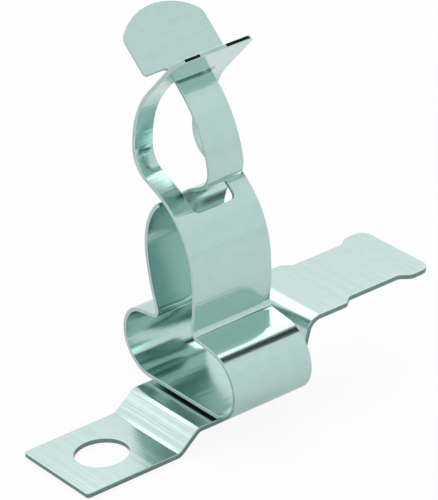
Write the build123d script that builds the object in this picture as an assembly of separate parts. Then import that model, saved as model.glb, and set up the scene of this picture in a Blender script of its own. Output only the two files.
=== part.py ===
from build123d import *
import os
from math import asin, cos, degrees, radians, sin, tan

# Cable shield clamp: a folded base strip that carries a springy clip of crossing arms.
# Millimetres and degrees, +Z up. X runs across the base strip, Y along it from the screw foot
# to the tie tail. The origin is the centre of the screw hole, on the underside of the foot.

# Base strip: foot, joggle, seat, riser and tail, folded from one sheet.
# Fold radii are those of the middle of the sheet.
base_sheet = 0.5
strip_width = 10.0
screw_hole = 5.0
hole_to_end = 5.0
hole_to_joggle = 5.0
foot_corner = 0.3
joggle_rise = 1.7
joggle_angle = 37.5
joggle_foot_radius = 0.9
joggle_seat_radius = 0.8
seat_lead = 1.5
weld_button = 1.6
weld_button_height = 0.3
weld_button_spacing = 4.5
riser_clearance = 0.1
riser_angle = 70.0
riser_foot_radius = 0.75
riser_tail_radius = 1.5
tail_rise = 7.7
tail_lead = 4.1
tie_notch_length = 7.5
tie_notch_depth = 0.8
tie_notch_slope = 42.0
tie_notch_corner = 0.6
tail_head = 2.3
tail_head_corner = 1.2

# Spring clip: floor, rolls, arms, window, tongue and flaps, folded from one thinner sheet.
# Each arm is a chain of tangent runs. A heading is the slope of the sheet where a run ends,
# 0 for towards +X and 90 for upright.
clip_sheet = 0.4
clip_width = 8.5
roll_radius = 3.3
roof_heading = 172.0
arm_foot_half = 2.7
arm_fold_radius = 0.8
arm_foot_heading = 74.0
lower_arm_radius = 19.4
arm_join_heading = 90.0
upper_arm_radius = 7.5
crossing_heading = 155.0
crossing_run = 1.8
ring_bend_radius = 2.4
ring_side_heading = 85.0
flap_heading = 43.0
flap_run = 1.0
neck_width = 3.7
neck_clearance = 0.4
neck_before_crossing = 1.35
neck_past_crossing = 1.3
neck_corner = 0.4
thumb_flap_side = 3.9
thumb_flap_bow = 2.1
thumb_flap_corner = 1.5
window_before_crossing = 2.25
window_past_crossing = 0.8
window_corner = 0.6
grip_flap_length = 4.5
grip_flap_corner = 1.0

# Places along the strip
joggle_top = hole_to_joggle + joggle_rise / tan(radians(joggle_angle))
clip_front = joggle_top + joggle_seat_radius * tan(radians(joggle_angle / 2)) + seat_lead
clip_back = clip_front + clip_width
clip_middle = (clip_front + clip_back) / 2
riser_foot = clip_back + riser_clearance + riser_foot_radius * tan(radians(riser_angle / 2))
riser_top = riser_foot + (tail_rise - joggle_rise) / tan(radians(riser_angle))
notch_start = riser_top + tail_lead
notch_end = notch_start + tie_notch_length
tail_end = notch_end + tail_head

# Level of the middle of the clip's floor, which lies on the seat's weld buttons
seat_level = base_sheet + joggle_rise
floor_level = seat_level + weld_button_height + clip_sheet / 2

# The neck, and the window that it passes through
neck_front = clip_middle - neck_width / 2
neck_back = clip_middle + neck_width / 2
window_front = neck_front - neck_clearance
window_back = neck_back + neck_clearance


def base_side():
    """Middle line of the base sheet, seen from the side: Y across the page and Z up."""
    foot_middle = base_sheet / 2
    seat_middle = foot_middle + joggle_rise
    tail_middle = foot_middle + tail_rise
    folds = [joggle_foot_radius, joggle_seat_radius, riser_foot_radius, riser_tail_radius]
    return FilletPolyline(
        (-hole_to_end, foot_middle),
        (hole_to_joggle, foot_middle),
        (joggle_top, seat_middle),
        (riser_foot, seat_middle),
        (riser_top, tail_middle),
        (tail_end, tail_middle),
        radius=folds,
    )


def base_plan():
    """Outline of the base from above: the screw hole, the tie notches and the rounded tail head."""
    edge = strip_width / 2
    waist = edge - tie_notch_depth
    slope_run = tie_notch_depth / tan(radians(tie_notch_slope))
    right = [
        (edge, -hole_to_end, foot_corner),
        (edge, notch_start, tie_notch_corner),
        (waist, notch_start + slope_run, tie_notch_corner),
        (waist, notch_end - slope_run, tie_notch_corner),
        (edge, notch_end, tie_notch_corner),
        (edge, tail_end, tail_head_corner),
    ]
    left = [(-x, y, corner) for x, y, corner in reversed(right)]
    outline = right + left
    points = [(x, y) for x, y, _ in outline]
    corners = [corner for _, _, corner in outline]
    return make_face(FilletPolyline(*points, radius=corners, close=True)) - Circle(screw_hole / 2)


def weld_buttons():
    """Four low buttons on the seat, which hold the clip's floor a little above it."""
    seat = Plane(origin=(0, clip_middle, seat_level))
    places = GridLocations(weld_button_spacing, weld_button_spacing, 2, 2)
    rounds = Sketch() + [seat * place * Circle(weld_button / 2) for place in places]
    return extrude(rounds, amount=weld_button_height)


def base_strip():
    """The folded sheet, trimmed to its outline, with the weld buttons on its seat."""
    folded = extrude(Plane.YZ * trace(base_side(), base_sheet), amount=strip_width / 2, both=True)
    blank_reach = 2 * (tail_rise + base_sheet)
    trimmed = folded & extrude(base_plan(), amount=blank_reach, both=True)
    return trimmed + weld_buttons()


def arm_chain(before_crossing, past_crossing):
    """Middle line of one half of the clip, in X and Z, from the floor's middle to a flap.

    The first list is the full-width part. The second is the slim part, which starts before the
    lower crossing with the other arm and ends past the upper one, both above the floor's middle.
    """
    floor = Line((0, floor_level), (strip_width / 2, floor_level))
    roll = JernArc(floor @ 1, floor % 1, roll_radius, roof_heading)
    fold_reach = arm_fold_radius * (sin(radians(arm_foot_heading)) - sin(radians(roof_heading)))
    roof_reach = (roll @ 1).X - arm_foot_half - fold_reach
    roof = PolarLine(roll @ 1, roof_reach / -cos(radians(roof_heading)), direction=roll % 1)
    fold = JernArc(roof @ 1, roof % 1, arm_fold_radius, arm_foot_heading - roof_heading)
    lower_arm = JernArc(fold @ 1, fold % 1, lower_arm_radius, arm_join_heading - arm_foot_heading)

    crossing_sine = sin(radians(arm_join_heading)) - (lower_arm @ 1).X / upper_arm_radius
    slim_heading = 180 - degrees(asin(crossing_sine) + before_crossing / upper_arm_radius)
    wide_arm = JernArc(lower_arm @ 1, lower_arm % 1, upper_arm_radius, slim_heading - arm_join_heading)
    slim_arm = JernArc(wide_arm @ 1, wide_arm % 1, upper_arm_radius, crossing_heading - slim_heading)

    crossing = PolarLine(slim_arm @ 1, crossing_run, direction=slim_arm % 1)
    bend_turn = ring_side_heading - crossing_heading
    ring_bend = JernArc(crossing @ 1, crossing % 1, ring_bend_radius, bend_turn)
    side_reach = -(ring_bend @ 1).X - flap_run * cos(radians(flap_heading))
    side_radius = side_reach / (sin(radians(ring_side_heading)) - sin(radians(flap_heading)))
    ring_side = JernArc(ring_bend @ 1, ring_bend % 1, side_radius, flap_heading - ring_side_heading)
    flap_lead = PolarLine(ring_side @ 1, flap_run + past_crossing, direction=ring_side % 1)

    wide = [floor, roll, roof, fold, lower_arm, wide_arm]
    slim = [slim_arm, crossing, ring_bend, ring_side, flap_lead]
    return wide, slim


def ribbon(chain, front, back):
    """A bent strip of the clip's sheet along a chain of middle lines, between two Y places."""
    side = Plane.XZ.offset(-front) * trace(chain, clip_sheet)
    return extrude(side, amount=back - front, dir=(0, 1, 0))


def flap(chain, outline):
    """A flat flap that goes on from the end of a chain, its outline drawn from that end."""
    end = chain[-1] @ 1
    heading = chain[-1] % 1
    plane = Plane(
        origin=(end.X, clip_middle, end.Y),
        x_dir=(heading.X, 0, heading.Y),
        z_dir=(-heading.Y, 0, heading.X),
    )
    return extrude(plane * outline, amount=clip_sheet / 2, both=True)


def round_inner_corners(arm, chains, sides, radius):
    """Rounds the corners where the slim part of an arm meets its two full-width ends."""
    ends = [chain[-1] @ 1 for chain in chains]
    points = [(end.X, side, end.Y) for end in ends for side in sides]
    edges = [arm.edges().sort_by_distance(point)[0] for point in points]
    return fillet(edges, radius)


def grip_flap():
    """Plain flap with two rounded corners."""
    plain = Rectangle(grip_flap_length, clip_width, align=(Align.MIN, Align.CENTER))
    return fillet(plain.vertices().group_by(Axis.X)[-1], grip_flap_corner)


def thumb_flap():
    """Flap with square shoulders and a bowed end."""
    half = clip_width / 2
    side = thumb_flap_side
    front = Line((0, -half), (side, -half))
    bow = ThreePointArc((side, -half), (side + thumb_flap_bow, 0), (side, half))
    back = Line((side, half), (0, half))
    shoulder = Line((0, half), (0, -half))
    plain = make_face([front, bow, back, shoulder])
    bowed = fillet(plain.vertices().group_by(Axis.X)[-1], thumb_flap_corner)
    return fillet(bowed.vertices().group_by(Axis.X)[0], neck_corner)


def window_arm():
    """The +X half: its arm splits into two legs around a window and ends in the grip flap."""
    wide, slim = arm_chain(window_before_crossing, window_past_crossing)
    arm = ribbon(wide, clip_front, clip_back)
    arm += ribbon(slim, clip_front, window_front)
    arm += ribbon(slim, window_back, clip_back)
    arm += flap(slim, grip_flap())
    return round_inner_corners(arm, (wide, slim), (window_front, window_back), window_corner)


def tongue_arm():
    """The -X half, drawn on +X and mirrored: its arm narrows to a neck with the thumb flap."""
    wide, slim = arm_chain(neck_before_crossing, neck_past_crossing)
    arm = ribbon(wide, clip_front, clip_back)
    arm += ribbon(slim, neck_front, neck_back)
    arm += flap(slim, thumb_flap())
    arm = round_inner_corners(arm, (wide, slim), (neck_front, neck_back), neck_corner)
    return mirror(arm, about=Plane.YZ)


def spring_clip():
    """Both halves, as the one strip of spring sheet that they are."""
    return window_arm() + tongue_arm()


os.makedirs("parts", exist_ok=True)
export_step(base_strip(), "parts/base_strip.step")
export_step(spring_clip(), "parts/spring_clip.step")
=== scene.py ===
# %% [markdown]
# # Cable shield clamp
# A small earthing clamp for a wiring cabinet, made of two bright plated strips. A folded base
# strip has a screw foot at one end and a notched tail for a cable tie at the other. A thinner
# spring strip sits on it and is bent into two rolls, a loop for the cable and a finger ring,
# with its two ends crossing twice: the neck of one end passes through a window in the other.
#
# Both strips start as flat blanks here, as they do in the press, and are then bent. The packed
# model gives the frame, so nothing has to be fitted afterwards.

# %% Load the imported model
from math import asin, atan2, ceil, cos, degrees, hypot, pi, radians, sin, sqrt, tan

import bmesh
import bpy
from mathutils import Matrix, Vector


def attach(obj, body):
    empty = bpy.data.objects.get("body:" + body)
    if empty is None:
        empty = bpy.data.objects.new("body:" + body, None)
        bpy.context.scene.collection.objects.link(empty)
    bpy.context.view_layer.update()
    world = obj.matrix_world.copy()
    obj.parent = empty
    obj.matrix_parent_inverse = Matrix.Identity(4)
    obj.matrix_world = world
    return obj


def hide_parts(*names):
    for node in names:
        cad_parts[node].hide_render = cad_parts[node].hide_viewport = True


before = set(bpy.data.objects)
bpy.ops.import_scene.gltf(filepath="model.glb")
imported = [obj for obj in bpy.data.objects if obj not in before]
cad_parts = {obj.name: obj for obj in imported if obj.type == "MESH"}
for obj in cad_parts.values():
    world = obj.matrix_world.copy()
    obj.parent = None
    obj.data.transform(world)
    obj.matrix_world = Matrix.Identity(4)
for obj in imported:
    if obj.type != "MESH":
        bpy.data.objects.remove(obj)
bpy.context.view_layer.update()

MM = 0.001
print("CAD nodes:", sorted(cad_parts))

# %% [markdown]
# ## Curves point by point
# Every outline and every fold of this clamp is made of straight runs and round arcs. Blender's
# Bezier curves only come near to an arc, so the points are worked out here. Two helpers are
# enough: one rounds the corners of a polygon, the other walks along a strip that is given as a
# list of runs, each with a radius and the slope that it turns to. Sizes are in millimetres until
# a finished mesh is scaled, because Blender's merge limits suit that size.

# %% Helpers for arcs and rounded outlines
ARC_STEP = radians(2.0)


def arc_points(centre, radius, start, turn):
    """Points of an arc from the angle start through the signed angle turn, both ends included."""
    count = max(2, ceil(abs(turn) / ARC_STEP))
    angles = [start + turn * i / count for i in range(count + 1)]
    return [(centre[0] + radius * cos(a), centre[1] + radius * sin(a)) for a in angles]


def rounded(corners, closed):
    """Points of a polygon or an open line whose corners (x, y, radius) are rounded off."""
    points = []
    count = len(corners)
    for i, (x, y, radius) in enumerate(corners):
        if not closed and i in (0, count - 1):
            points.append((x, y))
            continue
        before, after = corners[i - 1], corners[(i + 1) % count]
        way_in = atan2(y - before[1], x - before[0])
        way_out = atan2(after[1] - y, after[0] - x)
        turn = (way_out - way_in + pi) % (2 * pi) - pi
        side = 1 if turn > 0 else -1
        reach = radius * tan(abs(turn) / 2)
        start = (x - reach * cos(way_in), y - reach * sin(way_in))
        centre = (start[0] - side * radius * sin(way_in), start[1] + side * radius * cos(way_in))
        points += arc_points(centre, radius, way_in - side * pi / 2, turn)
    return points


def walk(start, runs):
    """Points along a strip: a run is ("straight", length) or ("arc", radius, heading)."""
    points, heading = [start], 0.0
    for kind, size, *turn_to in runs:
        x, y = points[-1]
        if kind == "straight":
            points.append((x + size * cos(heading), y + size * sin(heading)))
            continue
        turn = radians(turn_to[0]) - heading
        side = 1 if turn > 0 else -1
        centre = (x - side * size * sin(heading), y + side * size * cos(heading))
        points += arc_points(centre, size, heading - side * pi / 2, turn)[1:]
        heading += turn
    return points


def lengths(points):
    """Distance along the points, from the first."""
    total, out = 0.0, [0.0]
    for a, b in zip(points, points[1:]):
        total += hypot(b[0] - a[0], b[1] - a[1])
        out.append(total)
    return out


print("an arc has a point at least every %.1f degrees" % degrees(ARC_STEP))

# %% [markdown]
# ## The base strip's side line
# The base is one folded sheet: foot, joggle, seat, riser and tail. Seen from the side it is a
# polyline with rounded folds, so it is given as corners, each with the radius of its fold. The
# radii are those of the middle of the sheet, which keeps its length when it is folded.

# %% Base strip: side line
BASE_SHEET, STRIP_WIDTH, SCREW_HOLE = 0.5, 10.0, 5.0
HOLE_TO_END, HOLE_TO_JOGGLE, FOOT_CORNER = 5.0, 5.0, 0.3
JOGGLE_RISE, JOGGLE_ANGLE = 1.7, radians(37.5)
JOGGLE_FOOT_RADIUS, JOGGLE_SEAT_RADIUS = 0.9, 0.8
SEAT_LEAD, RISER_CLEARANCE = 1.5, 0.1
RISER_ANGLE, RISER_FOOT_RADIUS, RISER_TAIL_RADIUS = radians(70.0), 0.75, 1.5
TAIL_RISE, TAIL_LEAD, TAIL_HEAD, TAIL_HEAD_CORNER = 7.7, 4.1, 2.3, 1.2
NOTCH_LENGTH, NOTCH_DEPTH, NOTCH_SLOPE, NOTCH_CORNER = 7.5, 0.8, radians(42.0), 0.6
CLIP_WIDTH = 8.5

joggle_top = HOLE_TO_JOGGLE + JOGGLE_RISE / tan(JOGGLE_ANGLE)
clip_front = joggle_top + JOGGLE_SEAT_RADIUS * tan(JOGGLE_ANGLE / 2) + SEAT_LEAD
clip_middle = clip_front + CLIP_WIDTH / 2
riser_foot = clip_front + CLIP_WIDTH + RISER_CLEARANCE + RISER_FOOT_RADIUS * tan(RISER_ANGLE / 2)
riser_top = riser_foot + (TAIL_RISE - JOGGLE_RISE) / tan(RISER_ANGLE)
tail_end = riser_top + TAIL_LEAD + NOTCH_LENGTH + TAIL_HEAD

base_level = BASE_SHEET / 2
base_line = rounded([
    (-HOLE_TO_END, base_level, 0),
    (HOLE_TO_JOGGLE, base_level, JOGGLE_FOOT_RADIUS),
    (joggle_top, base_level + JOGGLE_RISE, JOGGLE_SEAT_RADIUS),
    (riser_foot, base_level + JOGGLE_RISE, RISER_FOOT_RADIUS),
    (riser_top, base_level + TAIL_RISE, RISER_TAIL_RADIUS),
    (tail_end, base_level + TAIL_RISE, 0),
], closed=False)
base_length = lengths(base_line)[-1]
print("base strip: %.2f mm of sheet, %.2f mm folded" % (base_length, tail_end + HOLE_TO_END))

# %% [markdown]
# ## The base strip's blank
# The blank is what the sheet looks like before it is folded: a long strip with a screw hole near
# one end and a notch for the cable tie in each side near the other. A fold takes up length, so a
# place on the tail is measured back from the tail's end.

# %% Base strip: blank outline
def base_outlines():
    """Blank of the base: along the sheet from the foot's end, and across it."""
    edge, waist = STRIP_WIDTH / 2, STRIP_WIDTH / 2 - NOTCH_DEPTH
    slope = NOTCH_DEPTH / tan(NOTCH_SLOPE)
    notch_end = base_length - TAIL_HEAD
    notch_start = notch_end - NOTCH_LENGTH
    right = [
        (0, -edge, FOOT_CORNER),
        (notch_start, -edge, NOTCH_CORNER),
        (notch_start + slope, -waist, NOTCH_CORNER),
        (notch_end - slope, -waist, NOTCH_CORNER),
        (notch_end, -edge, NOTCH_CORNER),
        (base_length, -edge, TAIL_HEAD_CORNER),
    ]
    left = [(s, -y, corner) for s, y, corner in reversed(right)]
    hole = arc_points((HOLE_TO_END, 0), SCREW_HOLE / 2, 0, 2 * pi)[:-1]
    return [rounded(right + left, closed=True), hole]


print("base blank: outline and hole of", [len(points) for points in base_outlines()], "points")

# %% [markdown]
# ## The spring clip's middle line
# The clip is one strip too, with its middle on the seat. Going right, it rolls up and over, folds
# into the arm, bows out round the cable, crosses the other arm, swings round the finger ring,
# crosses again and ends in a flap. Each run starts at the slope where the last one ended, so the
# strip never kinks. The left half is the mirror image up to its flap, so both halves share one
# walk and are sure to cross on the middle plane.

# %% Spring clip: middle line
CLIP_SHEET = 0.4
WELD_BUTTON, WELD_BUTTON_HEIGHT, WELD_BUTTON_SPACING = 1.6, 0.3, 4.5
ROLL_RADIUS, ROOF_HEADING = 3.3, 172.0
ARM_FOOT_HALF, ARM_FOLD_RADIUS, ARM_FOOT_HEADING = 2.7, 0.8, 74.0
LOWER_ARM_RADIUS, ARM_JOIN_HEADING, UPPER_ARM_RADIUS = 19.4, 90.0, 7.5
CROSSING_HEADING, CROSSING_RUN = 155.0, 1.8
RING_BEND_RADIUS, RING_SIDE_HEADING = 2.4, 85.0
FLAP_HEADING, FLAP_RUN = 43.0, 1.0
NECK_WIDTH, NECK_CLEARANCE, NECK_CORNER = 3.7, 0.4, 0.4
NECK_BEFORE_CROSSING, NECK_PAST_CROSSING = 1.35, 1.3
THUMB_SIDE, THUMB_BOW, THUMB_CORNER = 3.9, 2.1, 1.5
WINDOW_BEFORE_CROSSING, WINDOW_PAST_CROSSING, WINDOW_CORNER = 2.25, 0.8, 0.6
GRIP_LENGTH, GRIP_CORNER = 4.5, 1.0


def sine(angle):
    """Sine of an angle in degrees."""
    return sin(radians(angle))


seat_level = BASE_SHEET + JOGGLE_RISE
floor_level = seat_level + WELD_BUTTON_HEIGHT + CLIP_SHEET / 2
fold_reach = ARM_FOLD_RADIUS * (sine(ARM_FOOT_HEADING) - sine(ROOF_HEADING))
roof_reach = STRIP_WIDTH / 2 + ROLL_RADIUS * sine(ROOF_HEADING) - ARM_FOOT_HALF - fold_reach
join_x = ARM_FOOT_HALF + LOWER_ARM_RADIUS * (sine(ARM_JOIN_HEADING) - sine(ARM_FOOT_HEADING))
crossing_heading = 180 - degrees(asin(sine(ARM_JOIN_HEADING) - join_x / UPPER_ARM_RADIUS))
to_join = [
    ("straight", STRIP_WIDTH / 2),
    ("arc", ROLL_RADIUS, ROOF_HEADING),
    ("straight", roof_reach / -cos(radians(ROOF_HEADING))),
    ("arc", ARM_FOLD_RADIUS, ARM_FOOT_HEADING),
    ("arc", LOWER_ARM_RADIUS, ARM_JOIN_HEADING),
]
to_ring = [
    ("arc", UPPER_ARM_RADIUS, CROSSING_HEADING),
    ("straight", CROSSING_RUN),
    ("arc", RING_BEND_RADIUS, RING_SIDE_HEADING),
]
ring_x = walk((0, floor_level), to_join + to_ring)[-1][0]
side_reach = -ring_x - FLAP_RUN * cos(radians(FLAP_HEADING))
side_radius = side_reach / (sine(RING_SIDE_HEADING) - sine(FLAP_HEADING))
to_flap = [("arc", side_radius, FLAP_HEADING), ("straight", FLAP_RUN)]


def half_line(flap_reach):
    """Half of the clip's middle line, which goes on past the upper crossing by flap_reach."""
    return walk((0, floor_level), to_join + to_ring + to_flap + [("straight", flap_reach)])


lower_crossing = lengths(walk((0, floor_level), to_join))[-1]
lower_crossing += UPPER_ARM_RADIUS * radians(crossing_heading - ARM_JOIN_HEADING)
upper_crossing = lengths(half_line(0))[-1]
grip_end = upper_crossing + WINDOW_PAST_CROSSING + GRIP_LENGTH
neck_end = upper_crossing + NECK_PAST_CROSSING
thumb_end = neck_end + THUMB_SIDE + THUMB_BOW

window_half = half_line(WINDOW_PAST_CROSSING + GRIP_LENGTH)
tongue_half = half_line(NECK_PAST_CROSSING + THUMB_SIDE + THUMB_BOW)
clip_line = [(-x, z) for x, z in reversed(tongue_half[1:])] + window_half
print("spring clip: %.1f mm of strip" % (grip_end + thumb_end))
print("it crosses itself %.1f and %.1f mm from its middle" % (lower_crossing, upper_crossing))

# %% [markdown]
# ## The spring clip's blank
# Flat, the clip is a strip with a window near one end and a slim neck near the other. The thumb
# flap past the neck ends in a bow. Its two corners are small arcs that touch the bow and the side
# of the strip from inside, so the rim has no kink there.

# %% Spring clip: blank outline
def thumb_bow():
    """Bowed end of the thumb flap with its two rounded corners, from one side to the other."""
    half = CLIP_WIDTH / 2
    bow_radius = (half ** 2 + THUMB_BOW ** 2) / (2 * THUMB_BOW)
    bow_centre = thumb_end - bow_radius
    inner = bow_radius - THUMB_CORNER
    corner = bow_centre + sqrt(inner ** 2 - (half - THUMB_CORNER) ** 2)
    bow_angle = atan2(half - THUMB_CORNER, corner - bow_centre)
    first = arc_points((corner, -half + THUMB_CORNER), THUMB_CORNER, -pi / 2, pi / 2 - bow_angle)
    bow = arc_points((bow_centre, 0), bow_radius, -bow_angle, 2 * bow_angle)
    last = arc_points((corner, half - THUMB_CORNER), THUMB_CORNER, bow_angle, pi / 2 - bow_angle)
    return first + bow[1:-1] + last


def clip_outlines():
    """Blank of the clip: along the sheet from the floor's middle, and across it."""
    half, neck = CLIP_WIDTH / 2, NECK_WIDTH / 2
    neck_start = lower_crossing - NECK_BEFORE_CROSSING
    bow = [(-s, -y) for s, y in thumb_bow()]
    far_side = rounded([
        (grip_end, 0, 0),
        (grip_end, half, GRIP_CORNER),
        (-neck_start, half, NECK_CORNER),
        (-neck_start, neck, NECK_CORNER),
        (-neck_end, neck, NECK_CORNER),
        (-neck_end, half, NECK_CORNER),
        (*bow[0], 0),
    ], closed=False)
    near_side = [(s, -y) for s, y in reversed(far_side)]
    outline = far_side + bow[1:-1] + near_side[:-1]
    opening = NECK_WIDTH / 2 + NECK_CLEARANCE
    start = lower_crossing - WINDOW_BEFORE_CROSSING
    end = upper_crossing + WINDOW_PAST_CROSSING
    window = [(start, -opening), (end, -opening), (end, opening), (start, opening)]
    return [outline, rounded([(s, y, WINDOW_CORNER) for s, y in window], closed=True)]


print("clip blank: outline and window of", [len(points) for points in clip_outlines()], "points")

# %% [markdown]
# ## Cutting a blank
# A flat blank is a filled 2D curve: one closed spline for the edge and one for each hole. The
# curve's own bevel rounds the rims as tumbling does to a stamped part, and keeps them inside the
# outline. A bent sheet needs an edge across it at every small turn, so the blank is cut across
# wherever its middle line turns. A few of the cuts come first. The thin triangles that fill the
# curve are then melted into one clean face between each two of them, and the other cuts follow.

# %% Helpers that cut a blank
RIM = 0.06
RIM_STEPS = 2
NEAR = 1e-4
COARSE = 12


def flat_curve(name, outlines, sheet):
    """A filled curve with the sheet's thickness and rounded rims."""
    curve = bpy.data.curves.new(name, "CURVE")
    curve.dimensions = "2D"
    curve.fill_mode = "BOTH"
    curve.extrude = sheet / 2 - RIM
    curve.bevel_depth = RIM
    curve.bevel_resolution = RIM_STEPS
    curve.offset = -RIM
    for points in outlines:
        spline = curve.splines.new("POLY")
        spline.points.add(len(points) - 1)
        for point, (s, y) in zip(spline.points, points):
            point.co = (s, y, 0, 1)
        spline.use_cyclic_u = True
    return curve


def cut_places(line, start):
    """Places along the sheet where its middle line turns."""
    return [start + place for place in lengths(line)[1:-1]]


def cut_across(bm, faces, places):
    """Cuts the faces at each place along the sheet, halving the list so each cut stays local."""
    if not places or not faces:
        return
    middle = len(places) // 2
    place = places[middle]
    edges = {edge for face in faces for edge in face.edges}
    verts = {vert for face in faces for vert in face.verts}
    geometry = list(verts) + list(edges) + faces
    cut = bmesh.ops.bisect_plane(
        bm, geom=geometry, dist=NEAR, plane_co=(place, 0, 0), plane_no=(1, 0, 0)
    )
    pieces = [item for item in cut["geom"] if isinstance(item, bmesh.types.BMFace)]
    before = [face for face in pieces if face.calc_center_bounds().x < place]
    after = [face for face in pieces if face.calc_center_bounds().x >= place]
    cut_across(bm, before, places[:middle])
    cut_across(bm, after, places[middle + 1:])


def melt_flats(bm):
    """Melts the triangles of the two flat sides into one face between each two cuts."""
    flat = {face for face in bm.faces if abs(face.normal.z) > 1 - NEAR}
    shared = [edge for edge in bm.edges if len(edge.link_faces) == 2]
    inner = [edge for edge in shared if flat.issuperset(edge.link_faces)]
    slanted = [edge for edge in inner if abs(edge.verts[0].co.x - edge.verts[1].co.x) > NEAR]
    bmesh.ops.dissolve_edges(bm, edges=slanted, use_verts=False)


print("rims are rounded by %.2f mm, with 1 cut in %d made first" % (RIM, COARSE))

# %% The two blanks
def make_blank(name, outlines, sheet, cuts):
    """A flat closed mesh of the sheet, cut across at each place, with a map of the flat sheet."""
    shape = bpy.data.objects.new(name, flat_curve(name, outlines, sheet))
    bpy.context.collection.objects.link(shape)
    graph = bpy.context.evaluated_depsgraph_get()
    mesh = bpy.data.meshes.new_from_object(shape.evaluated_get(graph))
    bpy.data.objects.remove(shape)
    bm = bmesh.new()
    bm.from_mesh(mesh)
    bmesh.ops.remove_doubles(bm, verts=bm.verts, dist=NEAR)
    cut_across(bm, bm.faces[:], cuts[::COARSE])
    melt_flats(bm)
    cut_across(bm, bm.faces[:], [place for i, place in enumerate(cuts) if i % COARSE])
    bmesh.ops.recalc_face_normals(bm, faces=bm.faces)
    sheet_map = bm.loops.layers.uv.new("sheet")
    for face in bm.faces:
        face.smooth = True
        for loop in face.loops:
            loop[sheet_map].uv = loop.vert.co.xy
    open_edges = sum(1 for edge in bm.edges if not edge.is_manifold)
    measured = (len(bm.faces), bm.calc_volume(), open_edges)
    print(name, "has %d faces, %.1f mm3 and %d open edges" % measured)
    bm.to_mesh(mesh)
    bm.free()
    blank = bpy.data.objects.new(name, mesh)
    bpy.context.collection.objects.link(blank)
    return blank


base_blank = make_blank("base_blank", base_outlines(), BASE_SHEET, cut_places(base_line, 0))
clip_cuts = cut_places(clip_line, -thumb_end)
clip_blank = make_blank("clip_blank", clip_outlines(), CLIP_SHEET, clip_cuts)

# %% [markdown]
# ## Writing node trees
# Materials, the light and the Geometry Nodes below are all trees of nodes, and in a script most
# of a tree is the same three lines again and again: make a node, set an input, link a socket. A
# few helpers take that up. Each operand is a socket or a plain value.

# %% Node helpers
def feed(tree, socket, value):
    """Links a socket to another one, or sets it to a plain value."""
    if isinstance(value, bpy.types.NodeSocket):
        tree.links.new(value, socket)
    else:
        socket.default_value = value


def add(tree, kind, **inputs):
    """A new node with its inputs fed by name; _ stands for the space in a name."""
    node = tree.nodes.new(kind)
    for name, value in inputs.items():
        feed(tree, node.inputs[name.replace("_", " ")], value)
    return node


def maths(tree, operation, first, second=0.0):
    """Result of a Math node."""
    node = tree.nodes.new("ShaderNodeMath")
    node.operation = operation
    feed(tree, node.inputs[0], first)
    feed(tree, node.inputs[1], second)
    return node.outputs[0]


def vector_maths(tree, operation, first, second):
    """Result of a Vector Math node. SCALE takes a number second, and DOT_PRODUCT gives one."""
    node = tree.nodes.new("ShaderNodeVectorMath")
    node.operation = operation
    feed(tree, node.inputs[0], first)
    feed(tree, node.inputs["Scale" if operation == "SCALE" else 1], second)
    return node.outputs["Value" if operation == "DOT_PRODUCT" else "Vector"]


def ramp(tree, source, low, high):
    """A colour ramp from one colour to another, each given with its place on the ramp."""
    node = add(tree, "ShaderNodeValToRGB", Fac=source)
    for stop, (position, colour) in zip(node.color_ramp.elements, (low, high)):
        stop.position = position
        stop.color = (*colour, 1)
    return node.outputs["Color"]


def tinted(tree, mask, colour, darker):
    """A colour socket, darkened to another colour where the mask is 1."""
    node = tree.nodes.new("ShaderNodeMix")
    node.data_type = "RGBA"
    sockets = {socket.identifier: socket for socket in node.inputs}
    feed(tree, sockets["Factor_Float"], mask)
    feed(tree, sockets["A_Color"], colour)
    feed(tree, sockets["B_Color"], (*darker, 1))
    return next(socket for socket in node.outputs if socket.identifier == "Result_Color")


print("node helpers:", [made.__name__ for made in (feed, add, maths, vector_maths, ramp, tinted)])

# %% [markdown]
# ## The plating
# Both strips are bright plated steel. A plated sheet is a mirror, but not a perfect one: fine
# lines run across the strip and blur what it shows in one direction, and the plating is a little
# cloudy. Anisotropic gloss could give the blur, but one value for the whole sheet has no single
# lines in it. Here a stretched noise sets the roughness and a slight bump, and a second one the
# clouds. Both read the map of the flat sheet, so they follow it through every fold.

# %% Plated finishes
LINE_STRETCH = (1.6, 0.04, 1.0)
LINE_DETAIL, LINE_BUMP, LINE_HEIGHT = 4.0, 0.5, 0.00004
CLOUD_SCALE, CLOUD_DETAIL, CLOUD_BREAKUP = 0.9, 6.0, 0.65
CLOUD_FROM, CLOUD_TO = 0.3, 0.7
SPRING_TEAL, SPRING_CLOUD = (0.49, 0.66, 0.63), (0.455, 0.63, 0.6)
BASE_TEAL, BASE_CLOUD = (0.525, 0.655, 0.635), (0.49, 0.63, 0.61)
SPRING_ROUGHNESS, BASE_ROUGHNESS = (0.12, 0.2), (0.14, 0.26)


def new_metal(name, roughness):
    """A metal with no colour yet: the material, its tree and its shader."""
    material = bpy.data.materials.new(name)
    material.use_nodes = True
    shader = material.node_tree.nodes["Principled BSDF"]
    shader.inputs["Metallic"].default_value = 1.0
    shader.inputs["Roughness"].default_value = roughness
    return material, material.node_tree, shader


def sheet_place(tree):
    """Place on the flat sheet in millimetres: along it, then across."""
    sheet = tree.nodes.new("ShaderNodeUVMap")
    sheet.uv_map = "sheet"
    return sheet.outputs["UV"]


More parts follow.
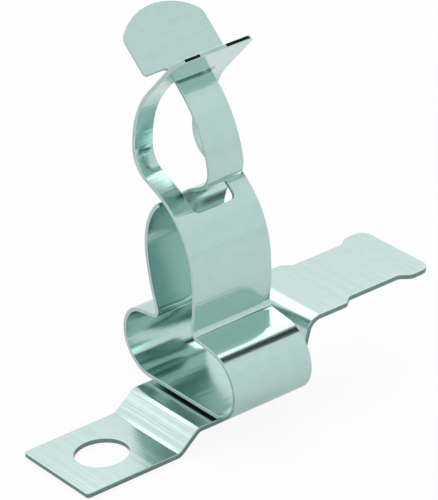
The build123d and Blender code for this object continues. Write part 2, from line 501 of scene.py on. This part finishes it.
def plating(name, colour, cloud, roughness):
    """Bright plated sheet: a mirror with fine lines across the strip and a little cloud."""
    smooth, rough = roughness
    material, tree, shader = new_metal(name, smooth)
    place = sheet_place(tree)
    stretched = add(tree, "ShaderNodeMapping", Vector=place, Scale=LINE_STRETCH).outputs["Vector"]
    line_noise = add(tree, "ShaderNodeTexNoise", Vector=stretched, Scale=1.0, Detail=LINE_DETAIL)
    lines = line_noise.outputs["Fac"]
    clouds = add(tree, "ShaderNodeTexNoise", Vector=place, Scale=CLOUD_SCALE)
    feed(tree, clouds.inputs["Detail"], CLOUD_DETAIL)
    feed(tree, clouds.inputs["Roughness"], CLOUD_BREAKUP)
    tone = ramp(tree, clouds.outputs["Fac"], (CLOUD_FROM, cloud), (CLOUD_TO, colour))
    feed(tree, shader.inputs["Base Color"], tone)
    blur = add(tree, "ShaderNodeMapRange", Value=lines, To_Min=smooth, To_Max=rough)
    feed(tree, shader.inputs["Roughness"], blur.outputs["Result"])
    bump = add(tree, "ShaderNodeBump", Height=lines, Strength=LINE_BUMP, Distance=LINE_HEIGHT)
    feed(tree, shader.inputs["Normal"], bump.outputs["Normal"])
    return material


spring_plating = plating("spring_plating", SPRING_TEAL, SPRING_CLOUD, SPRING_ROUGHNESS)
base_plating = plating("base_plating", BASE_TEAL, BASE_CLOUD, BASE_ROUGHNESS)
print("plated finishes:", spring_plating.name, base_plating.name)

# %% [markdown]
# ## The sheared edges
# The edges of a stamped sheet were torn rather than rolled, so they are duller and have a fine
# grain. The end of the grip flap also gets two black marks on its edge, a painted dark reflection
# of its rounded end. They are marked on the map of the flat sheet, past a distance along it and
# between two places across it, because there they stay on the edge wherever the fold takes it.

# %% Sheared finishes, with painted dark reflections on the grip flap
EDGE_ROUGHNESS, EDGE_GRAIN, EDGE_WEAR = 0.28, 2500.0, 0.7
SPRING_EDGE, BASE_EDGE = (0.5, 0.64, 0.62), (0.2, 0.3, 0.29)
# Black painted into the grip flap's end edge, standing in for a dark reflection there.
PAINTED_REFLECTION_BLACK = (0.01, 0.015, 0.02)
PAINTED_REFLECTION_DEPTH = 0.12
FLAP_PAINTED_REFLECTIONS = [(grip_end - PAINTED_REFLECTION_DEPTH, -3.2, -1.6), (grip_end - PAINTED_REFLECTION_DEPTH, 1.2, 3.8)]


def painted_reflection_mask(tree, flat, distance, across_from, across_to):
    """1 past a distance along the sheet and between two places across it, 0 elsewhere."""
    past = maths(tree, "GREATER_THAN", flat["X"], distance)
    after = maths(tree, "GREATER_THAN", flat["Y"], across_from)
    before = maths(tree, "LESS_THAN", flat["Y"], across_to)
    between = maths(tree, "MULTIPLY", after, before)
    return maths(tree, "MULTIPLY", past, between)


def sheared(name, colour, painted_reflections=()):
    """Sheared edge of the sheet, duller than the plating, with its painted dark reflections."""
    material, tree, shader = new_metal(name, EDGE_ROUGHNESS)
    place = tree.nodes.new("ShaderNodeTexCoord").outputs["Object"]
    grain = add(tree, "ShaderNodeTexNoise", Vector=place, Scale=EDGE_GRAIN).outputs["Fac"]
    worn = [EDGE_WEAR * channel for channel in colour]
    tone = ramp(tree, grain, (0.0, worn), (1.0, colour))
    flat = add(tree, "ShaderNodeSeparateXYZ", Vector=sheet_place(tree)).outputs
    # Each mask paints black into the edge colour: a painted dark reflection.
    for painted_reflection in painted_reflections:
        tone = tinted(tree, painted_reflection_mask(tree, flat, *painted_reflection), tone, PAINTED_REFLECTION_BLACK)
    feed(tree, shader.inputs["Base Color"], tone)
    return material


spring_edge = sheared("spring_edge", SPRING_EDGE, FLAP_PAINTED_REFLECTIONS)
base_edge = sheared("base_edge", BASE_EDGE)
print("sheared finishes:", spring_edge.name, base_edge.name, "with", len(FLAP_PAINTED_REFLECTIONS), "painted_reflections")

# %% [markdown]
# ## Bending a blank along its middle line
# A press brake doesn't stretch a sheet: each line across the blank ends up across the folded
# strip, at the same distance along it. That is one rule for every point, so Geometry Nodes do it.
# A Curve modifier bends too, but it works out for itself which way the sheet faces, and here the
# width axis is known and can just be given. Sample Curve gives the place and the direction of the
# middle line at a point's distance along the blank. The point then goes sideways along the width
# axis, and up or down through the sheet's thickness along the cross product of the two.

# %% Node tree: bend a blank
UPRIGHT_RISE = 0.2
BEND_INPUTS = (
    ("Geometry", "Geometry"),
    ("Middle line", "Object"),
    ("Line starts at", "Float"),
    ("Width axis", "Vector"),
    ("Unit", "Float"),
    ("Plating", "Material"),
    ("Sheared edge", "Material"),
)


def new_tree(name, inputs):
    """A Geometry Nodes group with named inputs and one geometry out, and its input sockets."""
    tree = bpy.data.node_groups.new(name, "GeometryNodeTree")
    for title, kind in inputs:
        tree.interface.new_socket(title, in_out="INPUT", socket_type="NodeSocket" + kind)
    tree.interface.new_socket("Geometry", in_out="OUTPUT", socket_type="NodeSocketGeometry")
    return tree, tree.nodes.new("NodeGroupInput").outputs


def real_and_plated(tree, geometry, finish):
    """The geometry with its instances made real and all of it in one finish."""
    real = add(tree, "GeometryNodeRealizeInstances", Geometry=geometry).outputs["Geometry"]
    plated = add(tree, "GeometryNodeSetMaterial", Geometry=real, Material=finish)
    return plated.outputs["Geometry"]


def upright_faces(tree):
    """True on the faces of a flat blank that stand upright, which are its sheared edges."""
    normal = tree.nodes.new("GeometryNodeInputNormal").outputs["Normal"]
    rise = add(tree, "ShaderNodeSeparateXYZ", Vector=normal).outputs["Z"]
    upright = tree.nodes.new("FunctionNodeCompare")
    upright.operation = "LESS_THAN"
    feed(tree, upright.inputs["A"], maths(tree, "ABSOLUTE", rise))
    feed(tree, upright.inputs["B"], UPRIGHT_RISE)
    return upright.outputs["Result"]


def folded_place(tree, given):
    """Where a point of the flat blank goes on the folded strip."""
    place = tree.nodes.new("GeometryNodeInputPosition").outputs["Position"]
    flat = add(tree, "ShaderNodeSeparateXYZ", Vector=place).outputs
    line = add(tree, "GeometryNodeObjectInfo", Object=given["Middle line"]).outputs["Geometry"]
    distance = maths(tree, "SUBTRACT", flat["X"], given["Line starts at"])
    sample = tree.nodes.new("GeometryNodeSampleCurve")
    sample.mode = "LENGTH"
    feed(tree, sample.inputs["Curves"], line)
    feed(tree, sample.inputs["Length"], distance)
    through = vector_maths(tree, "CROSS_PRODUCT", sample.outputs["Tangent"], given["Width axis"])
    sideways = vector_maths(tree, "SCALE", given["Width axis"], flat["Y"])
    up = vector_maths(tree, "SCALE", through, flat["Z"])
    moved = vector_maths(tree, "ADD", sample.outputs["Position"], sideways)
    folded = vector_maths(tree, "ADD", moved, up)
    return vector_maths(tree, "SCALE", folded, given["Unit"])


def bend_tree():
    """Geometry Nodes group that folds a flat blank along a middle line."""
    tree, given = new_tree("bend_blank", BEND_INPUTS)
    edges = tree.nodes.new("GeometryNodeCaptureAttribute")
    edges.domain = "FACE"
    edges.capture_items.new("BOOLEAN", "edge")
    feed(tree, edges.inputs["Geometry"], given["Geometry"])
    feed(tree, edges.inputs["edge"], upright_faces(tree))
    bend = tree.nodes.new("GeometryNodeSetPosition")
    feed(tree, bend.inputs["Geometry"], edges.outputs["Geometry"])
    feed(tree, bend.inputs["Position"], folded_place(tree, given))
    plated = real_and_plated(tree, bend.outputs["Geometry"], given["Plating"])
    edged = add(tree, "GeometryNodeSetMaterial", Geometry=plated, Material=given["Sheared edge"])
    feed(tree, edged.inputs["Selection"], edges.outputs["edge"])
    add(tree, "NodeGroupOutput", Geometry=edged.outputs["Geometry"])
    return tree


BEND = bend_tree()
print("bend tree: %d nodes, with inputs" % len(BEND.nodes), [title for title, _ in BEND_INPUTS])

# %% [markdown]
# ## Folding the two strips
# The middle lines become poly curves, the tree bends the blanks along them, and the result is
# copied to a plain mesh. A Weighted Normal modifier lets the broad faces decide how light turns
# at the rounded rims, so the flats stay flat mirrors right up to their edges. Each folded strip
# then stands for its CAD node, in the same place.

# %% Helpers that fold a strip
FAVOUR_BROAD_FACES = 100


def middle_line(name, points):
    """A poly curve through points in space, in millimetres."""
    curve = bpy.data.curves.new(name, "CURVE")
    curve.dimensions = "3D"
    spline = curve.splines.new("POLY")
    spline.points.add(len(points) - 1)
    for point, place in zip(spline.points, points):
        point.co = (*place, 1)
    line = bpy.data.objects.new(name, curve)
    bpy.context.collection.objects.link(line)
    return line


def set_inputs(modifier, values):
    """Sets the named inputs of a node tree's modifier through their identifiers."""
    for socket in modifier.node_group.interface.items_tree:
        if socket.in_out == "INPUT" and socket.name in values:
            modifier[socket.identifier] = values[socket.name]


def plain_mesh(obj, name):
    """A new object with the plain mesh that an object's modifiers give."""
    graph = bpy.context.evaluated_depsgraph_get()
    mesh = bpy.data.meshes.new_from_object(obj.evaluated_get(graph), depsgraph=graph)
    mesh.name = name
    piece = bpy.data.objects.new(name, mesh)
    bpy.context.collection.objects.link(piece)
    size = [round(v / MM, 2) for v in piece.dimensions]
    print(name, "is a plain mesh of", len(mesh.polygons), "faces, size in mm", size)
    return piece


def fold(blank, line, start, width_axis, finish, edge, name):
    """Bends a blank and returns the folded strip as a plain mesh object."""
    bend = blank.modifiers.new("bend", "NODES")
    bend.node_group = BEND
    set_inputs(bend, {
        "Middle line": line,
        "Line starts at": start,
        "Width axis": width_axis,
        "Unit": MM,
        "Plating": finish,
        "Sheared edge": edge,
    })
    weigh = blank.modifiers.new("weigh", "WEIGHTED_NORMAL")
    weigh.weight = FAVOUR_BROAD_FACES
    strip = plain_mesh(blank, name)
    for used in (blank, line):
        bpy.data.objects.remove(used)
    return strip


print("folding helpers:", [made.__name__ for made in (middle_line, set_inputs, plain_mesh, fold)])

# %% Fold the strips and take the place of the CAD nodes
base_path = middle_line("base_path", [(0, y, z) for y, z in base_line])
base_sheet = fold(base_blank, base_path, 0.0, (-1, 0, 0), base_plating, base_edge, "base_sheet")
clip_path = middle_line("clip_path", [(x, clip_middle, z) for x, z in clip_line])
clip_sheet = fold(
    clip_blank, clip_path, -thumb_end, (0, 1, 0), spring_plating, spring_edge, "clip_sheet"
)

for piece, node, slot in (
    (base_sheet, "base_strip", "base_plating"),
    (clip_sheet, "spring_clip", "spring_plating"),
):
    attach(piece, "root")
    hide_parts(node)
    print(piece.name, "stands for", node)

# %% [markdown]
# ## Weld buttons
# The clip doesn't lie flat on the seat. Four low buttons hold it up by 0.3 mm, where it is spot
# welded. They repeat on a square, so Geometry Nodes set them: a grid of two by two points gives
# their places and a short cylinder stands on each, sunk a little into the seat so that no two
# faces lie in one plane.

# %% Node tree: four buttons on the seat
BUTTON_SUNK = 0.1
BUTTON_SIDES = 48
BUTTONS_A_SIDE = 2
BUTTON_INPUTS = (
    ("Spacing", "Float"),
    ("Radius", "Float"),
    ("Height", "Float"),
    ("Middle", "Vector"),
    ("Finish", "Material"),
)


def button_tree():
    """Geometry Nodes group that sets a short cylinder at each corner of a square."""
    tree, given = new_tree("weld_buttons", BUTTON_INPUTS)
    spacing = given["Spacing"]
    corners = add(tree, "GeometryNodeMeshGrid", Size_X=spacing, Size_Y=spacing)
    feed(tree, corners.inputs["Vertices X"], BUTTONS_A_SIDE)
    feed(tree, corners.inputs["Vertices Y"], BUTTONS_A_SIDE)
    button = add(tree, "GeometryNodeMeshCylinder", Vertices=BUTTON_SIDES, Radius=given["Radius"])
    feed(tree, button.inputs["Depth"], given["Height"])
    placed = add(tree, "GeometryNodeInstanceOnPoints", Points=corners.outputs["Mesh"])
    feed(tree, placed.inputs["Instance"], button.outputs["Mesh"])
    seated = add(tree, "GeometryNodeTransform", Geometry=placed.outputs["Instances"])
    feed(tree, seated.inputs["Translation"], given["Middle"])
    plated = real_and_plated(tree, seated.outputs["Geometry"], given["Finish"])
    add(tree, "NodeGroupOutput", Geometry=plated)
    return tree


seed = bpy.data.objects.new("button_seed", bpy.data.meshes.new("button_seed"))
bpy.context.collection.objects.link(seed)
stand = seed.modifiers.new("stand", "NODES")
stand.node_group = button_tree()
button_depth = WELD_BUTTON_HEIGHT + BUTTON_SUNK
button_level = seat_level + WELD_BUTTON_HEIGHT - button_depth / 2
set_inputs(stand, {
    "Spacing": WELD_BUTTON_SPACING * MM,
    "Radius": WELD_BUTTON / 2 * MM,
    "Height": button_depth * MM,
    "Middle": (0.0, clip_middle * MM, button_level * MM),
    "Finish": base_plating,
})
weld_buttons = plain_mesh(seed, "weld_buttons")
bpy.data.objects.remove(seed)
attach(weld_buttons, "root")

# %% [markdown]
# ## A white tent
# The clamp is a mirror, so what it shows is the room. Bright metal is photographed in a white
# tent, and the world is that tent. It is white for the camera and in reflections, and lights the
# floor a little less. All white would leave the metal without a dark line, so the tent has two
# patches, told by the direction of a ray: a dark one, high up on the right, that draws the black
# line along the right roll, and a slightly grey one low on the right.

# %% White world
WORLD_LIGHT, WHITE = 0.85, 1.0
DARK_AZIMUTH, DARK_ELEVATION, DARK_HALF_SIZE = 80, 60, (0.15, 0.25)
PALE_AZIMUTH, PALE_ELEVATION, PALE_HALF_SIZE = 31, 12, (0.333, 0.3)
WHITE_TENT = (1, 1, 1)
DARK_TENT = (0.008, 0.015, 0.025)
PALE_TENT = (0.93, 0.955, 0.955)


def towards(azimuth, elevation):
    """Unit vector from the clamp: azimuth 0 is +X and 90 is +Y."""
    a, e = radians(azimuth), radians(elevation)
    return Vector((cos(a) * cos(e), sin(a) * cos(e), sin(e)))


def patch(tree, direction, azimuth, elevation, half_size):
    """1 for the directions in a rectangle of the tent, 0 elsewhere. Its size is as seen 1 m off."""
    middle = towards(azimuth, elevation)
    sideways = Vector((0, 0, 1)).cross(middle).normalized()
    ahead = vector_maths(tree, "DOT_PRODUCT", direction, middle)
    inside = 1.0
    for axis, half in zip((sideways, middle.cross(sideways)), half_size):
        offset = maths(tree, "ABSOLUTE", vector_maths(tree, "DOT_PRODUCT", direction, axis))
        within = maths(tree, "LESS_THAN", offset, maths(tree, "MULTIPLY", ahead, half))
        inside = maths(tree, "MULTIPLY", within, inside)
    return inside


def seen_directly(tree):
    """1 for camera, glossy and transmission rays, 0 for the rest."""
    rays = tree.nodes.new("ShaderNodeLightPath").outputs
    seen = maths(tree, "MAXIMUM", rays["Is Camera Ray"], rays["Is Glossy Ray"])
    return maths(tree, "MAXIMUM", seen, rays["Is Transmission Ray"])


world = bpy.data.worlds.new("tent")
bpy.context.scene.world = world
world.use_nodes = True
tent = world.node_tree
direction = tent.nodes.new("ShaderNodeTexCoord").outputs["Generated"]
dark_patch = patch(tent, direction, DARK_AZIMUTH, DARK_ELEVATION, DARK_HALF_SIZE)
pale_patch = patch(tent, direction, PALE_AZIMUTH, PALE_ELEVATION, PALE_HALF_SIZE)
tone = ramp(tent, dark_patch, (0.0, WHITE_TENT), (1.0, DARK_TENT))
tone = tinted(tent, pale_patch, tone, PALE_TENT)
strength = add(tent, "ShaderNodeMapRange", Value=seen_directly(tent))
feed(tent, strength.inputs["To Min"], WORLD_LIGHT)
feed(tent, strength.inputs["To Max"], WHITE)
background = tent.nodes["Background"]
feed(tent, background.inputs["Color"], tone)
feed(tent, background.inputs["Strength"], strength.outputs["Result"])
print("world:", world.name, "gives", WORLD_LIGHT, "as light and shows as", WHITE)

# %% [markdown]
# ## A pale floor
# The clamp stands on white paper that keeps a faint shadow. A plain diffuse floor would turn grey
# around it, so the floor glows white for the camera and only a small share of its shading shows.
# In the metal a larger share shows, because there the clamp's shadow is what makes the undersides
# dark.

# %% Pale floor that keeps a faint shadow
FLOOR_SIZE = 4.0
FLOOR_DROP = 0.0001
FLOOR_PAPER = (0.95, 0.95, 0.95, 1)
FLOOR_CORNERS = ((-1, -1), (1, -1), (1, 1), (-1, 1))
SHADOW_SHARE = 0.1
MIRRORED_SHADOW_SHARE = 0.7


def floor_material():
    """White paper whose shading shows in part, by the kind of ray that sees it."""
    material = bpy.data.materials.new("pale_floor")
    material.use_nodes = True
    tree = material.node_tree
    tree.nodes.clear()
    paper = add(tree, "ShaderNodeBsdfDiffuse", Color=FLOOR_PAPER)
    glow = add(tree, "ShaderNodeEmission", Strength=WHITE)
    rays = tree.nodes.new("ShaderNodeLightPath").outputs
    seen = maths(tree, "MAXIMUM", rays["Is Camera Ray"], rays["Is Transmission Ray"])
    seen_glow = maths(tree, "MULTIPLY", seen, 1 - SHADOW_SHARE)
    mirrored_glow = maths(tree, "MULTIPLY", rays["Is Glossy Ray"], 1 - MIRRORED_SHADOW_SHARE)
    mix = add(tree, "ShaderNodeMixShader", Fac=maths(tree, "MAXIMUM", seen_glow, mirrored_glow))
    feed(tree, mix.inputs[1], paper.outputs[0])
    feed(tree, mix.inputs[2], glow.outputs[0])
    add(tree, "ShaderNodeOutputMaterial", Surface=mix.outputs[0])
    return material


reach = FLOOR_SIZE / 2
floor_mesh = bpy.data.meshes.new("floor")
floor_points = [(x * reach, y * reach, -FLOOR_DROP) for x, y in FLOOR_CORNERS]
floor_mesh.from_pydata(floor_points, [], [(0, 1, 2, 3)])
floor_mesh.materials.append(floor_material())
floor = bpy.data.objects.new("floor", floor_mesh)
bpy.context.collection.objects.link(floor)
print("floor: %.1f m wide, shows %.0f%% of its shadow" % (FLOOR_SIZE, 100 * SHADOW_SHARE))

# %% [markdown]
# ## Two soft boxes
# The white streaks on the folds are lamps. Two area lamps stand for soft boxes, both high up
# behind the clamp as the camera sees it. A mirror shows how bright a lamp's face is and not its
# power, so the power is worked out from the face's radiance and size.

# %% Soft boxes
AIM = Vector((0, 0.014, 0.012))
BOX_DISTANCE, BOX_RADIANCE = 0.6, 1.0
LEFT_AZIMUTH, LEFT_ELEVATION, LEFT_SIZE = 165, 47, (0.75, 0.26)
TOP_AZIMUTH, TOP_ELEVATION, TOP_SIZE = 115.7, 54, (0.235, 0.3)


def soft_box(name, azimuth, elevation, size):
    """Rectangular lamp that looks at the clamp."""
    lamp = bpy.data.lights.new(name, "AREA")
    lamp.shape = "RECTANGLE"
    lamp.size, lamp.size_y = size
    lamp.energy = BOX_RADIANCE * pi * size[0] * size[1]
    box = bpy.data.objects.new(name, lamp)
    way = towards(azimuth, elevation)
    turn = way.to_track_quat("Z", "Y").to_matrix().to_4x4()
    box.matrix_world = Matrix.Translation(AIM + BOX_DISTANCE * way) @ turn
    box.visible_camera = False
    bpy.context.collection.objects.link(box)
    print("%s: %.2f W" % (name, lamp.energy))
    return box


soft_box("left_box", LEFT_AZIMUTH, LEFT_ELEVATION, LEFT_SIZE)
soft_box("top_box", TOP_AZIMUTH, TOP_ELEVATION, TOP_SIZE)

# %% [markdown]
# ## The camera
# The photograph was taken from the front right, a little above, with a long lens. The camera's
# angles in radians, its distance in millimetres and its lens in pixels were fitted to points
# whose places on the clamp are known. The camera is moved a little sideways and down rather than
# its lens shifted, so the other views stay centred.

# %% Camera at the photograph's angle
CAMERA_AZIMUTH, CAMERA_ELEVATION, CAMERA_ROLL = 0.9744, 0.4803, -0.0886
CAMERA_DISTANCE, FOCAL_PIXELS, IMAGE_LONG_SIDE = 339.63, 3814.27, 500
CAMERA_TARGET = Vector((0, 17.0, 15.5))
CAMERA_OFFSET = (2.045, 0.9357)
SENSOR = 36.0
NEAREST, FURTHEST = 0.01, 10.0

flat_back = Vector((sin(CAMERA_AZIMUTH), -cos(CAMERA_AZIMUTH), 0))
back = flat_back * cos(CAMERA_ELEVATION) + Vector((0, 0, sin(CAMERA_ELEVATION)))
level = Vector((cos(CAMERA_AZIMUTH), sin(CAMERA_AZIMUTH), 0))
rise = back.cross(level)
right = level * cos(CAMERA_ROLL) + rise * sin(CAMERA_ROLL)
up = rise * cos(CAMERA_ROLL) - level * sin(CAMERA_ROLL)
eye = CAMERA_TARGET - right * CAMERA_OFFSET[0] - up * CAMERA_OFFSET[1] + back * CAMERA_DISTANCE
lens = bpy.data.cameras.new("photo_camera")
lens.sensor_width = SENSOR
lens.lens = SENSOR * FOCAL_PIXELS / IMAGE_LONG_SIDE
lens.clip_start, lens.clip_end = NEAREST, FURTHEST
camera = bpy.data.objects.new("photo_camera", lens)
camera.matrix_world = Matrix.Translation(eye * MM) @ Matrix((right, up, back)).transposed().to_4x4()
bpy.context.collection.objects.link(camera)
bpy.context.scene.camera = camera
bpy.context.scene.view_settings.view_transform = "Standard"
print("camera at", [round(v, 3) for v in camera.location], "lens %.1f mm" % lens.lens)
